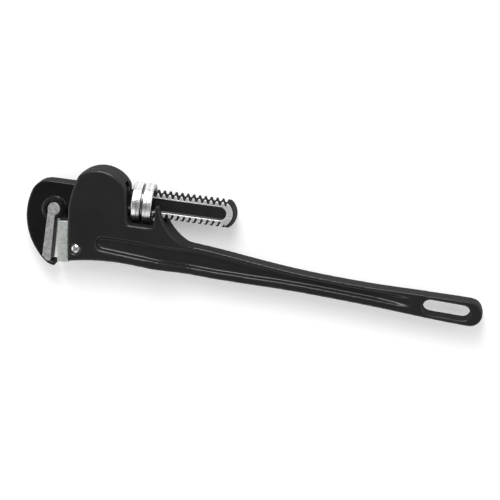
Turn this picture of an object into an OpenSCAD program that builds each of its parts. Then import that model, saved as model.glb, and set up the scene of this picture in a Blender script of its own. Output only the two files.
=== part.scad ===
// Straight pipe wrench, 450 mm class, lying on one cheek of its head.
// X runs along the shank towards the handle's end, Y towards the crown of the hood, Z up.
// The origin is on the cheek that it rests on, straight below the shank's axis at the hood.

/* [Head] */
// Thickness of the head from cheek to cheek
head_t = 40; // [37:0.5:52]
// Radius of the hood's crown
hood_r = 30.9; // [29:0.1:34]
// Crown's centre along the shank
hood_x = 2.0; // [0:0.1:4]
// Crown's centre above the shank's axis
hood_y = -2; // [-3:0.1:0]
// Depth of the head below the shank's axis, at its front corner
head_drop = 65; // [60:0.1:80]
// Front corner of the head below the heel jaw, along the shank
front_x = -21.6; // [-24:0.1:-21]
// Height of the front edge's straight stretch, where the cheek starts to lean back
front_bend_y = -11.5; // [-14:0.5:-8]
// How far back from the front edge the hood's upper corner lies
front_lean = 7.2; // [4:0.1:9]
// Gap between the shank and the lower lip of its channel
shank_rest_gap = 0.3; // [0.2:0.05:0.5]
// Room beside the shank in its channel, each side
shank_side_gap = 0.4; // [0.2:0.05:0.8]
// Room above the shank in the hood, for the jaw's rocking
rock_room = 2.8; // [2.6:0.1:4]

/* [Nut window] */
// Gap between the nut and the window's front wall, at the floor
window_front_gap = 1.25; // [1:0.05:4]
// How far the window's front wall leans forward at the top
window_lean = 5; // [2:0.1:6]
// Gap between the nut and the rear ears
window_rear_gap = 4; // [1.5:0.1:5]
// Gap between the nut and the window's floor
window_floor_gap = 1.2; // [1:0.1:4]

/* [Rear ears] */
// Height of the ears' tips above the shank's axis
ear_top = 1.1; // [-4:0.1:4]
// Length of the ears' tips along the shank
ear_tip = 3; // [2:0.1:6]
// Radius of the sweep from the ears down to the handle
sweep_r = 47.5; // [38:0.5:70]

/* [Handle] */
// Distance from the hood to the end of the handle
handle_reach = 386; // [300:1:480]
// Thickness of the handle
handle_t = 22; // [18:0.5:30]
// Where the handle starts behind the ears
neck_x = 93; // [88:0.5:100]
// Depth of the handle's centre line at its start
neck_drop = 49; // [46:0.1:54]
// Width of the handle at its start
neck_w = 28.3; // [24:0.1:32]
// Width of the handle at its slimmest
slim_w = 18.4; // [16:0.1:24]
// Width of the handle at its end
end_w = 24.4; // [22:0.1:32]
// Angle between the handle and the shank
handle_tilt = 3.2; // [2:0.05:6]
// Sag of the handle's centre line between its two ends
handle_sag = 1.7; // [0:0.1:3]
// Depth of the recess in each face
recess_depth = 5; // [2:0.1:6.5]
// Rim above the recess
rim_top = 4.7; // [3:0.1:7]
// Rim below the recess
rim_bottom = 7.6; // [4:0.1:9]
// Where the recess starts on the head
recess_x = 5; // [0:1:20]
// Web left between the recess and the hanging slot
recess_end_web = 9; // [5:0.5:30]
// Length over which the recess runs out before that web
recess_run = 34; // [10:1:60]
// Length of the hanging slot
hang_l = 46.5; // [30:0.5:70]
// Width of the hanging slot
hang_w = 14.4; // [8:0.5:15]
// Metal between the hanging slot and the end of the handle
hang_end = 12; // [9:0.5:20]

/* [Hook jaw] */
// Thickness of the hook
jaw_t = 22; // [20:0.5:26]
// Gap between the two jaws' teeth at the throat, as drawn
jaw_gap = 2.5; // [2:0.1:6]
// From the toothed face back to the hook's outermost point
hook_depth = 28.8; // [25:0.1:36]
// Height of the neck above the shank's axis
neck_top = 11; // [9:0.1:12]
// Radius of the hook's shoulder
shoulder_r = 18; // [15:0.5:22]
// Radius of the hook's back
back_r = 61.7; // [58:0.1:66]
// How far the toe reaches below the shank's axis
toe_drop = 73; // [70:0.1:76]
// How far the toe stands out past the toothed face
toe_lip = 4.4; // [1.5:0.1:4.8]
// Height of the toe below the toothed face
toe_h = 4.2; // [3:0.1:5]
// Underside of the throat below the shank's axis
throat_drop = 25.5; // [22:0.1:26]
// Length of the thick neck inside the cheeks
neck_in = 5.7; // [3:0.1:7]

/* [Jaw insert] */
// Width of the insert at its lower end, from its teeth to its back
insert_w = 9.1; // [7:0.1:11]
// How much narrower the insert is at its root
insert_taper = 1.5; // [0:0.1:2.5]
// Radius of the insert's round root
root_r = 6.2; // [4.5:0.1:7]
// Depth of the round root's centre below the shank's axis
root_drop = 16.5; // [15:0.1:18]
// Metal of the hook left around the insert's lower end
seat_rim = 1.4; // [1:0.1:3]
// Clearance around the insert in its seat
insert_gap = 0.08; // [0.05:0.01:0.2]

/* [Teeth] */
// Pitch of the teeth on both jaws
tooth_pitch = 2.3; // [1.8:0.1:3.5]
// Depth of the teeth on both jaws
tooth_h = 1.1; // [0.8:0.1:1.6]

/* [Shank and thread] */
// Thickness of the shank across its flats
shank_t = 16; // [14:0.5:18]
// Outside diameter of the thread
thread_d = 28; // [27:0.1:30]
// Place of one tooth's crest along the shank, on the crown's side
thread_x = 46.9; // [44:0.1:50]
// Pitch of the thread
thread_pitch = 5.8; // [5:0.1:6.5]
// Depth of the thread
thread_h = 3; // [2.5:0.1:3.2]
// Width of a tooth at its crest
crest_w = 1.6; // [1.2:0.1:1.8]
// Width of a tooth at its root
tooth_root_w = 4.4; // [4:0.1:4.5]
// Length of the shank behind the middle of the nut
shank_tail = 92.6; // [82:0.1:110]
// Length of the plain end behind the thread
plain_l = 10.9; // [9:0.1:16]
// Radius of the dome on the shank's end
dome_r = 17; // [15.5:0.5:30]
// Height of the sunk panel in the shank's flats
panel_h = 13.4; // [8:0.2:15]
// Depth of the sunk panel
panel_depth = 1.5; // [0.5:0.1:2.5]
// Metal between the panel and the tip of the shank
panel_end = 10.4; // [8:0.2:16]

/* [Nut] */
// Middle of the nut along the shank, from the hood
nut_x = 45; // [44:0.1:50]
// Outside diameter of the nut
nut_d = 39; // [38:0.1:40]
// Length of the nut
nut_l = 20.5; // [19:0.1:21]
// Chamfer on the nut's edges
nut_chamfer = 1.2; // [0.5:0.1:2]
// Width of the groove around the nut
groove_w = 3; // [2:0.1:5]
// Depth of the groove around the nut
groove_h = 2.2; // [1:0.1:2.5]
// Clearance between the nut's and the shank's threads
thread_gap = 0.32; // [0.3:0.01:0.4]

/* [Heel jaw] */
// Thickness of the heel jaw
heel_t = 22; // [18:0.5:26]
// Height of the toothed face
heel_h = 40.9; // [36:0.1:42]
// How far the heel jaw stands out of the head
heel_out = 12; // [8:0.1:13]
// How far it hangs below the head's front corner
heel_hang = 2.4; // [0:0.1:5]
// Angle between the two jaws
heel_tilt = 4.8; // [2:0.1:6]
// Length of the tang in the head
tang_l = 16; // [13:0.5:20]
// Height of the tang's lower edge above the head's front corner
tang_low = 6; // [5:0.1:7]
// Height of the tang's upper edge above the head's front corner
tang_h = 24; // [20:0.5:28]
// Clearance around the heel jaw in its slot
heel_gap = 0.15; // [0.1:0.05:0.3]
// Diameter of the heel jaw's pin
pin_d = 9; // [7:0.1:10]
// Depth of the pin behind the front edge
pin_in = 7.7; // [7:0.05:9]
// Height of the pin above the front corner
pin_up = 12.6; // [10:0.1:14]
// Clearance around the pin
pin_gap = 0.05; // [0.02:0.01:0.1]
// How deep the pin's ends lie below the cheeks
pin_sunk = 0.8; // [0.3:0.1:2]

/* [Springs] */
// Thickness of the flat spring
leaf_t = 1.2; // [0.8:0.1:1.6]
// Width of the flat spring
leaf_w = 13; // [8:0.5:15]
// Length of the flat spring
leaf_l = 32; // [26:0.5:33]
// Gap between the flat spring and the thread's crests
leaf_gap = 0.3; // [0.2:0.05:0.5]
// Outside diameter of the coil spring
coil_d = 10; // [8:0.5:12]
// Wire of the coil spring
coil_wire = 1.2; // [0.8:0.1:1.4]
// Turns of the coil spring
coil_turns = 3; // [2:1:3]
// Height of the coil spring
coil_h = 5.8; // [5:0.1:6.2]
// Diameter of the rivet
rivet_d = 3; // [2:0.1:4]

/* [Hidden] */
$fn = 64;
eps = 0.01;
past = 5;
mid_z = head_t / 2;
thread_r = thread_d / 2;
core_r = thread_r - thread_h;

// Points of an arc about c, from angle a to angle b.
function arc(c, r, a, b, n = 12) =
    [for (i = [0:n]) c + r * [cos(a + (b - a) * i / n), sin(a + (b - a) * i / n)]];
// Points of an arc from p to q with its centre on the right of the way from p to q when r > 0.
function arc_to(p, q, r, n = 12) =
    let (d = q - p, l = norm(d), side = [d[1], -d[0]] / l,
         c = (p + q) / 2 + side * sign(r) * sqrt(r * r - l * l / 4),
         a = atan2(p[1] - c[1], p[0] - c[0]), e = atan2(q[1] - c[1], q[0] - c[0]),
         turn = e - a, b = turn > 180 ? e - 360 : turn < -180 ? e + 360 : e)
    arc(c, abs(r), a, b, n);
// A slot's outline: two half circles of radius r about p and q.
function stadium(p, q, r) =
    let (a = atan2(q[1] - p[1], q[0] - p[0]))
    concat(arc(p, r, a + 90, a + 270, 18), arc(q, r, a - 90, a + 90, 18));
// A rise from 0 to 1 that starts and ends level.
function ease(t) = (1 - cos(180 * min(1, max(0, t)))) / 2;

// Head outline: the front edge, the crown and the nut's window.
front_low = [front_x, -head_drop];
front_bend = [front_x - (front_bend_y + head_drop) * tan(heel_tilt), front_bend_y];
crown_x = front_bend[0] + front_lean;
hood_c = [hood_x, hood_y];
window_x0 = nut_x - nut_l / 2 - window_front_gap;
window_top_x = window_x0 - window_lean;
window_x1 = nut_x + nut_l / 2 + window_rear_gap;
window_y = -nut_d / 2 - window_floor_gap;
crown_a = acos((crown_x - hood_x) / hood_r);
crown_b = acos((window_top_x - hood_x) / hood_r);

// Handle: its centre line and its width, from its start (f = 0) to the centre of its round end (f = 1).
end_x = handle_reach - end_w / 2;
slim_at = 0.52;
steps = 28;
function along(f) = neck_x + f * (end_x - neck_x);
function centre_y(f) = -neck_drop - tan(handle_tilt) * f * (end_x - neck_x) - handle_sag * sin(180 * f);
function width(f) = f < slim_at
    ? slim_w + (neck_w - slim_w) * pow(1 - ease(f / slim_at), 1.3)
    : slim_w + (end_w - slim_w) * pow(ease((f - slim_at) / (1 - slim_at)), 1.3);
function top_at(f) = [along(f), centre_y(f) + width(f) / 2];
function bottom_at(f) = [along(f), centre_y(f) - width(f) / 2];
end_c = [end_x, centre_y(1)];

// Underside of the head: an arc that curves up, from the front corner to a point ahead of the handle.
belly_l = 45;
belly_rise = 2.2;
belly_r = 230;

outline = concat(
    arc_to(front_low, front_bend, 900, 2),
    arc_to(front_bend, [crown_x, hood_y + hood_r * sin(crown_a)], 100, 6),
    arc(hood_c, hood_r, crown_a, crown_b, 30),
    [[window_x0, window_y], [window_x1, window_y], [window_x1, ear_top - 1], [window_x1 + 1, ear_top]],
    arc_to([window_x1 + ear_tip, ear_top], top_at(0), -sweep_r, 14),
    [for (i = [1:steps]) top_at(i / steps)],
    arc(end_c, end_w / 2, 90, -90, 24),
    [for (i = [steps:-1:0]) bottom_at(i / steps)],
    arc_to([neck_x - belly_l, centre_y(0) - neck_w / 2 + belly_rise], front_low, -belly_r, 10)
);

// Recess outline: round at the head, then between the two rims as far as the web at the slot.
hang_x1 = handle_reach - hang_end;
hang_x0 = hang_x1 - hang_l;
recess_f = (hang_x0 - recess_end_web - neck_x) / (end_x - neck_x);
recess_low = -49.5;
recess_r = 6.5;
recess_top0 = top_at(0)[1] - rim_top;
recess = concat(
    arc([recess_x + recess_r, recess_low + recess_r], recess_r, 250, 110, 8),
    [[recess_x + 20, recess_top0 + 2.6]],
    [for (i = [0:20]) top_at(recess_f * i / 20) - [0, rim_top]],
    [for (i = [20:-1:0]) bottom_at(recess_f * i / 20) + [0, rim_bottom]]
);

// Half the thickness at x: full at the head, easing down to the handle.
taper_x0 = window_x1 + 1;
taper_x1 = neck_x + 12;
function half_t(x) = handle_t / 2 + (head_t - handle_t) / 2 * (1 - ease((x - taper_x0) / (taper_x1 - taper_x0)));
taper = [for (i = [0:8]) let (x = taper_x0 + (taper_x1 - taper_x0) * i / 8) [x, half_t(x)]];

// Everything within the side profile.
module whole_profile() {
    side_profile(concat([[-past - head_drop, head_t / 2]], taper, [[handle_reach + past, handle_t / 2]]));
}

// The same, sunk on both faces to the floor of the recess, which rises again before the hanging slot.
module sunk_profile() {
    recess_x1 = hang_x0 - recess_end_web;
    side_profile(concat(
        [[-past - head_drop, head_t / 2 - recess_depth]], [for (p = taper) p - [0, recess_depth]],
        [[recess_x1 - recess_run, handle_t / 2 - recess_depth], [recess_x1 + eps, handle_t / 2 + eps],
         [handle_reach + past, handle_t / 2 + eps]]));
}

// All that lies between an upper edge and its mirror image below the middle plane.
module side_profile(upper) {
    last = len(upper) - 1;
    points = concat(upper, [for (i = [last:-1:0]) [upper[i][0], -upper[i][1]]]);
    translate([0, 50, mid_z]) rotate([90, 0, 0]) linear_extrude(150) polygon(points);
}

// A slab of thickness t across the middle plane.
module slab(t) { translate([0, 0, mid_z - t / 2]) linear_extrude(t) children(); }
module box_xy(p, q) { translate(p) square(q - p); }
// A round bar along the shank's axis.
module round_x(x0, x1, r) { translate([x0, 0, mid_z]) rotate([0, 90, 0]) cylinder(h = x1 - x0, r = r); }

// The heel jaw's own frame: its origin at the head's front corner, Y along the front edge.
module heel_frame() { translate(front_low) rotate(heel_tilt) children(); }

// Sizes of the hook, from the heel jaw's face and the jaw gap.
heel_top_y = heel_h - heel_hang;
heel_corner = front_low + [-heel_out * cos(heel_tilt) - heel_top_y * sin(heel_tilt),
                           -heel_out * sin(heel_tilt) + heel_top_y * cos(heel_tilt)];
face_x = heel_corner[0] - jaw_gap;
back_x = face_x - hook_depth;
neck_back_x = front_bend[0] + neck_in;
close_room = 3;

// Springs sit on the crests, under the crown.
leaf_y = thread_r + leaf_gap;
coil_y = leaf_y + leaf_t;
leaf_x = hood_x + 0.5;
roof_y = coil_y + coil_h + 0.1;
rock_rise = 3.2;
leaf_roof_y = coil_y + rock_rise + 1.3;

module channel() {
    half_w = shank_t / 2 + shank_side_gap;
    slab(2 * half_w) {
        box_xy([front_bend[0] - past, -thread_r - shank_rest_gap], [window_x0 + past, thread_r + rock_room]);
        box_xy([window_x1 - past, window_y], [neck_x + past, thread_r + past]);
        box_xy([leaf_x - leaf_l / 2 - 1.5, 0], [leaf_x + leaf_l / 2 + 0.8, leaf_roof_y]);
        box_xy([leaf_x - coil_d / 2 - 0.6, 0], [leaf_x + coil_d / 2 + 0.6, roof_y]);
    }
}

module neck_pocket() {
    slab(jaw_t + 2 * shank_side_gap)
        box_xy([front_bend[0] - past, -throat_drop - 1.1], [neck_back_x + close_room, thread_r + rock_room]);
}

module heel_slot() {
    above = 1.5;
    slab(heel_t + 2 * heel_gap) heel_frame()
        box_xy([-past, tang_low - heel_gap], [tang_l + heel_gap, heel_top_y + above]);
}

module pin_hole() {
    pin = [pin_in, pin_up];
    translate([0, 0, -eps]) linear_extrude(head_t + 2 * eps) heel_frame() translate(pin) circle(d = pin_d + 2 * pin_gap);
}

module hang_slot() {
    r = hang_w / 2;
    f0 = (hang_x0 + r - neck_x) / (end_x - neck_x);
    f1 = (hang_x1 - r - neck_x) / (end_x - neck_x);
    p = [along(f0), centre_y(f0)];
    q = [along(f1), centre_y(f1)];
    translate([0, 0, -eps]) linear_extrude(head_t + 2 * eps) polygon(stadium(p, q, r));
}

module handle_housing() {
    color("#1c1c1c") difference() {
        intersection() {
            linear_extrude(head_t) polygon(outline);
            whole_profile();
        }
        difference() {
            translate([0, 0, -1]) linear_extrude(head_t + 2) polygon(recess);
            sunk_profile();
        }
        channel();
        neck_pocket();
        heel_slot();
        pin_hole();
        hang_slot();
    }
}

// A row of teeth from height y0 to y1 on the line x = 0, tips towards -X.
function teeth(y0, y1) =
    let (n = floor((y1 - y0) / tooth_pitch), p = (y1 - y0) / n)
    [for (i = [0:n - 1]) each [[tooth_h, y0 + i * p], [0, y0 + (i + 0.62) * p], [0, y0 + (i + 0.72) * p]]];

module heel_jaw() {
    color("#b4b6b2") slab(heel_t) heel_frame() difference() {
        polygon(concat(
            [for (p = teeth(-heel_hang, heel_top_y)) p - [heel_out, 0]],
            [[tooth_h - heel_out, heel_top_y], [1, heel_top_y], [1, tang_h], [tang_l, tang_h],
             [tang_l, tang_low], [-heel_gap, tang_low], [-heel_gap, -heel_hang]]));
        translate([pin_in, pin_up]) circle(d = pin_d + 2 * pin_gap);
    }
}

module heel_jaw_pin() {
    dome = 0.8;
    r = pin_d / 2;
    half = head_t / 2 - pin_sunk;
    color("#d8d8d6") translate([0, 0, mid_z]) heel_frame() translate([pin_in, pin_up])
        rotate_extrude() polygon([[0, -half], [r - dome, -half], [r, dome - half],
                                  [r, half - dome], [r - dome, half], [0, half]]);
}

module flat_spring() {
    turn = 3;
    x0 = leaf_x - leaf_l / 2;
    x1 = leaf_x + leaf_l / 2;
    color("#5a5f66") difference() {
        slab(leaf_w) polygon([
            [x0, leaf_y + leaf_t], [x0 + turn, leaf_y], [x1 - turn, leaf_y], [x1, leaf_y + leaf_t],
            [x1, leaf_y + 2 * leaf_t], [x1 - turn, coil_y], [x0 + turn, coil_y], [x0, leaf_y + 2 * leaf_t]]);
        translate([leaf_x, leaf_y - 1, mid_z]) rotate([-90, 0, 0]) cylinder(h = leaf_t + 2, d = rivet_d + 2 * pin_gap);
    }
}

module spring_rivet() {
    head_h = 1;
    color("#8d9094") translate([leaf_x, 0, mid_z]) rotate([-90, 0, 0]) rotate_extrude() polygon([
        [0, leaf_y], [rivet_d / 2, leaf_y], [rivet_d / 2, coil_y + 0.05], [rivet_d * 0.85, coil_y + 0.05],
        [rivet_d * 0.7, coil_y + head_h], [0, coil_y + head_h]]);
}

// A tube swept along a rising coil about the Y axis.
module coil_spring() {
    sides = 8;
    per_turn = 24;
    n = per_turn * coil_turns;
    r = (coil_d - coil_wire) / 2;
    rise = coil_h - coil_wire;
    points = [for (i = [0:n]) let (a = 360 * i / per_turn, y = coil_y + coil_wire / 2 + 0.05 + (rise - 0.1) * i / n)
        for (k = [0:sides - 1]) let (b = 360 * k / sides, q = r + coil_wire / 2 * cos(b))
            [leaf_x + q * cos(a), y + coil_wire / 2 * sin(b), mid_z + q * sin(a)]];
    faces = concat(
        [[for (k = [0:sides - 1]) k]],
        [for (i = [0:n - 1], k = [0:sides - 1]) let (j = (k + 1) % sides)
            each [[i * sides + k, (i + 1) * sides + j, i * sides + j],
                  [i * sides + k, (i + 1) * sides + k, (i + 1) * sides + j]]],
        [[for (k = [sides - 1:-1:0]) n * sides + k]]);
    color("#5a5f66") polyhedron(points, faces);
}

// The nut's inner thread: one right-handed ridge, standing inside the bore.
module inner_thread() {
    per_turn = 30;
    bury = 0.4;
    // Turned a little, so that no corner of the ridge lies on the bore's own seam.
    phase = 4;
    turns = floor((nut_l - 5) / thread_pitch * 2) / 2;
    n = per_turn * turns;
    flank = (tooth_root_w - crest_w) / 2 / thread_h;
    bore = thread_r + thread_gap;
    tip = core_r + thread_gap;
    at_crest = thread_pitch - crest_w - 2 * thread_gap;
    half_out = at_crest / 2 + flank * (bore + bury - thread_r);
    half_in = at_crest / 2 - flank * (thread_r - tip);
    section = [[half_out, bore + bury], [half_in, tip], [-half_in, tip], [-half_out, bore + bury]];
    // The ridge runs half a pitch from the crests, in the shank's groove, and its middle is the nut's.
    step = 360 / per_turn;
    middle = step * round(per_turn * ((nut_x - thread_x) / thread_pitch - 1 / 2)) + phase;
    points = [for (i = [0:n]) let (a = step * (i - floor(n / 2)) + middle,
                                   x = thread_x + thread_pitch / 2 + thread_pitch * (a / 360))
        for (s = section) [x + s[0], s[1] * cos(a), mid_z + s[1] * sin(a)]];
    faces = concat(
        [[3, 2, 1, 0]],
        [for (i = [0:n - 1], k = [0:3]) let (j = (k + 1) % 4)
            each [[i * 4 + k, (i + 1) * 4 + j, (i + 1) * 4 + k], [i * 4 + k, i * 4 + j, (i + 1) * 4 + j]]],
        [[n * 4, n * 4 + 1, n * 4 + 2, n * 4 + 3]]);
    polyhedron(points, faces);
}

module adjusting_nut() {
    r = nut_d / 2;
    h = nut_l / 2;
    bore = thread_r + thread_gap;
    color("#cfd0d2") {
        translate([nut_x, 0, mid_z]) rotate([0, 90, 0]) rotate_extrude() polygon([
            [bore + 1.5, -h], [r - nut_chamfer, -h], [r, -h + nut_chamfer], [r, -groove_w / 2],
            [r - groove_h, -groove_w / 4], [r - groove_h, groove_w / 4], [r, groove_w / 2],
            [r, h - nut_chamfer], [r - nut_chamfer, h], [bore + 1.5, h], [bore, h - 1.5], [bore, -h + 1.5]]);
        inner_thread();
    }
}

// One tooth as a ring about the X axis: wide at the core, narrow at its crest.
module tooth_ring() {
    bury = 0.5;
    half_root = tooth_root_w / 2 + (tooth_root_w - crest_w) / 2 / thread_h * bury;
    rotate([0, 90, 0]) rotate_extrude() polygon([
        [core_r - bury, -half_root], [thread_r, -crest_w / 2], [thread_r, crest_w / 2], [core_r - bury, half_root]]);
}

// One side's teeth: half rings that lean by the thread's lead.
module thread_side(side) {
    lead = atan2(thread_pitch, PI * (thread_d - thread_h));
    shift = side > 0 ? 0 : 0.5;
    first = floor((window_x0 - close_room - thread_x) / thread_pitch) - 1;
    // Every crest ends before the plain end starts.
    last = floor((nut_x + shank_tail - plain_l - crest_w / 2 - 0.2 - thread_x) / thread_pitch - shift);
    intersection() {
        union() for (k = [first:last])
            translate([thread_x + thread_pitch * (k + shift), 0, mid_z]) rotate([0, side * lead, 0]) tooth_ring();
        slab(shank_t) box_xy([0, min(0, side * thread_d)], [handle_reach, max(0, side * thread_d)]);
    }
}

module shank() {
    tip_x = nut_x + shank_tail;
    thread_x0 = window_x0 - close_room - 2 * thread_pitch;
    difference() {
        union() {
            slab(shank_t) box_xy([neck_back_x - 1, -thread_r + 0.5], [thread_x0 + 1, neck_top]);
            intersection() {
                slab(shank_t) box_xy([thread_x0, -thread_d], [tip_x + 1, thread_d]);
                union() {
                    round_x(thread_x0, tip_x, core_r);
                    // A little thinner than the crests, so that the two surfaces never coincide.
                    round_x(tip_x - plain_l, tip_x + 1, thread_r - 0.2);
                    thread_side(1);
                    thread_side(-1);
                }
                translate([tip_x - dome_r, 0, mid_z]) union() {
                    sphere(r = dome_r);
                    translate([-200, 0, 0]) rotate([0, 90, 0]) cylinder(h = 200, r = dome_r);
                }
            }
        }
        for (z = [mid_z - shank_t / 2 - 1, mid_z + shank_t / 2 - panel_depth])
            translate([0, 0, z]) linear_extrude(panel_depth + 1)
                polygon(stadium([thread_x0 + panel_h, 0], [tip_x - panel_end - panel_h / 2, 0], panel_h / 2));
    }
}

// The insert's outline, grown by g: a bar with teeth, and a round root at the throat.
function lower_edge(g) = [for (x = [face_x - insert_w - g, face_x - insert_w / 2, face_x + g])
    [x, back_c[1] - sqrt(pow(back_r - seat_rim + g, 2) - pow(x - back_c[0], 2))]];
back_c = [back_x + back_r, -21.1];
shoulder_y = neck_top - shoulder_r;
shoulder_c = [back_c[0] - sqrt(pow(back_r - shoulder_r, 2) - pow(shoulder_y - back_c[1], 2)), shoulder_y];
face_low = -toe_drop + toe_h;
root_c = [face_x - 2, -root_drop];

module insert_shape(g) {
    translate(root_c) circle(r = root_r + g);
    intersection() {
        polygon(concat([[face_x - insert_w + insert_taper - g, -root_drop]], lower_edge(g), [[face_x + g, -root_drop]]));
        box_xy([back_x, face_low + 0.2 - g], [0, 0]);
    }
}

module hook_jaw_insert() {
    first = -root_drop - root_r - 1.2;
    last = face_low + 0.2;
    color("#c4c5c6") slab(jaw_t) difference() {
        insert_shape(0);
        translate([face_x - tooth_h, 0]) polygon(concat(
            [for (p = teeth(last, first)) [tooth_h - p[0], p[1]]],
            [[tooth_h, first], [tooth_h + 1, first], [tooth_h + 1, last - 1], [0, last - 1]]));
    }
}

module hook_jaw() {
    // The shoulder runs into the back, and the back into the toe, without a corner.
    join_a = atan2(shoulder_c[1] - back_c[1], shoulder_c[0] - back_c[0]);
    toe_a = 360 - acos((face_x - 3 - back_c[0]) / back_r);
    tip_r = 1.6;
    throat_x = front_bend[0] - 0.8;
    outer = concat(
        [[neck_back_x, neck_top]],
        arc(shoulder_c, shoulder_r, 90, join_a, 14),
        arc(back_c, back_r, join_a + 1, toe_a, 20),
        arc([face_x + toe_lip - tip_r, -toe_drop + tip_r], tip_r, 270, 350, 5),
        [[face_x + toe_lip - 0.6, face_low - 0.6], [face_x, face_low], [face_x, -throat_drop - 1.5],
         [face_x + 1.6, -throat_drop], [throat_x - 2, -throat_drop], [throat_x, -throat_drop + 2],
         [throat_x, -thread_r - 1.5], [throat_x + 2, -thread_r + 0.5], [neck_back_x, -thread_r + 0.5]]);
    color("#0d0c0c") {
        slab(jaw_t) difference() {
            polygon(outer);
            insert_shape(insert_gap);
        }
        shank();
    }
}

handle_housing();
heel_jaw();
heel_jaw_pin();
flat_spring();
spring_rivet();
coil_spring();
adjusting_nut();
hook_jaw();
hook_jaw_insert();
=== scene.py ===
"""A straight pipe wrench: cast handle, forged hook jaw, ground jaw faces, plated nut, springs and studio.

Lengths are written in millimetres and turned to metres by MM. Every piece lies where its CAD node lies.
"""

import logging
import math
from collections.abc import Callable
from dataclasses import dataclass
from enum import Enum

import bmesh
import bpy
from mathutils import Matrix, Vector

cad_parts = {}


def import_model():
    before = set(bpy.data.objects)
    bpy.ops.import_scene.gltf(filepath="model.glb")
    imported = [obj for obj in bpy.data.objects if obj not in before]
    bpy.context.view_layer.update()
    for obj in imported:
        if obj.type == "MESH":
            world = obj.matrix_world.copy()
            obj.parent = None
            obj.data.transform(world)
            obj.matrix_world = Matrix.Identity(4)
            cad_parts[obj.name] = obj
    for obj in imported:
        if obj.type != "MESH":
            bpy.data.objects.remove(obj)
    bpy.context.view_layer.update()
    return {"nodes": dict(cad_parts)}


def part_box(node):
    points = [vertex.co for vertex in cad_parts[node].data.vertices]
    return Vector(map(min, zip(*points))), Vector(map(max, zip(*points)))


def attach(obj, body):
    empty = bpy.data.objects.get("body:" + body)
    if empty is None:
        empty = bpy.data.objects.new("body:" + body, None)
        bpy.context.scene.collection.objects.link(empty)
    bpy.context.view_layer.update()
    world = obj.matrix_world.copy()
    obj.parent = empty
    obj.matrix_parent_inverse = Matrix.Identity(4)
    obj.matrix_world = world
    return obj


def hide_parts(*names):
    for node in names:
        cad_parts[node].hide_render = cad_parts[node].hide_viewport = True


MM = 0.001
Colour = tuple[float, float, float, float]
log = logging.getLogger("pipe_wrench")


class Body(Enum):
    """The rigid bodies that the pieces ride on."""

    FRAME = "frame"
    LEAF = "spring_leaf"
    NUT = "nut"
    HOOK = "hook"


class Slot(Enum):
    """The material slots that the finishes stand for."""

    ENAMEL = "housing_enamel"
    OXIDE = "hook_oxide"
    INSERT = "insert_steel"
    HEEL = "heel_steel"
    ZINC = "nut_zinc"
    PIN = "pin_steel"
    SPRING = "spring_steel"


# ---------------------------------------------------------------- small tools


def linear(hex_colour: str) -> Colour:
    """Turns an sRGB hex colour to linear light.

    Args:
        hex_colour: A colour such as "#1c1c1c".

    Returns:
        Red, green, blue and alpha, linear.
    """
    parts = [int(hex_colour[i : i + 2], 16) / 255 for i in (1, 3, 5)]
    r, g, b = (c / 12.92 if c <= 0.04045 else ((c + 0.055) / 1.055) ** 2.4 for c in parts)
    return (r, g, b, 1.0)


def per_metre(period_mm: float) -> float:
    """Gives the texture scale whose pattern repeats about every period_mm millimetres."""
    return 1 / (period_mm * MM)


def smoothstep(low: float, high: float, value: float) -> float:
    """Rises from 0 at low to 1 at high, level at both ends."""
    t = min(1.0, max(0.0, (value - low) / (high - low)))
    return t * t * (3 - 2 * t)


def add_node(
    tree: bpy.types.NodeTree, kind: str, settings: dict | None = None, **inputs: object
) -> bpy.types.Node:
    """Adds a shader node, sets it up and links it.

    Args:
        tree: The node tree that the node joins.
        kind: Blender's name of the node's type.
        settings: Properties of the node itself.
        **inputs: Input sockets by name, with _ for a space, each a value or a socket to link from.
            A name such as i0 means the socket's number.

    Returns:
        The new node.
    """
    node = tree.nodes.new(kind)
    for key, value in (settings or {}).items():
        setattr(node, key, value)
    for key, value in inputs.items():
        name = key.replace("_", " ")
        socket = node.inputs[int(key[1:])] if key[0] == "i" and key[1:].isdigit() else node.inputs[name]
        if isinstance(value, bpy.types.NodeSocket):
            tree.links.new(value, socket)
        else:
            socket.default_value = value
    return node


def ramp(
    tree: bpy.types.NodeTree, fac: bpy.types.NodeSocket, stops: list[tuple[float, Colour]]
) -> bpy.types.NodeSocket:
    """Maps a value to a colour along a ramp.

    Args:
        tree: The node tree.
        fac: The value, 0 to 1.
        stops: Positions and colours, in rising order.

    Returns:
        The ramp's colour output.
    """
    node = add_node(tree, "ShaderNodeValToRGB", Fac=fac)
    elements = node.color_ramp.elements
    elements[0].position, elements[0].color = stops[0]
    elements[1].position, elements[1].color = stops[-1]
    for position, colour in stops[1:-1]:
        elements.new(position).color = colour
    return node.outputs["Color"]


def grey(value: float) -> Colour:
    """Gives a grey of that linear value."""
    return (value, value, value, 1.0)


# ---------------------------------------------------------------- finishes


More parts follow.
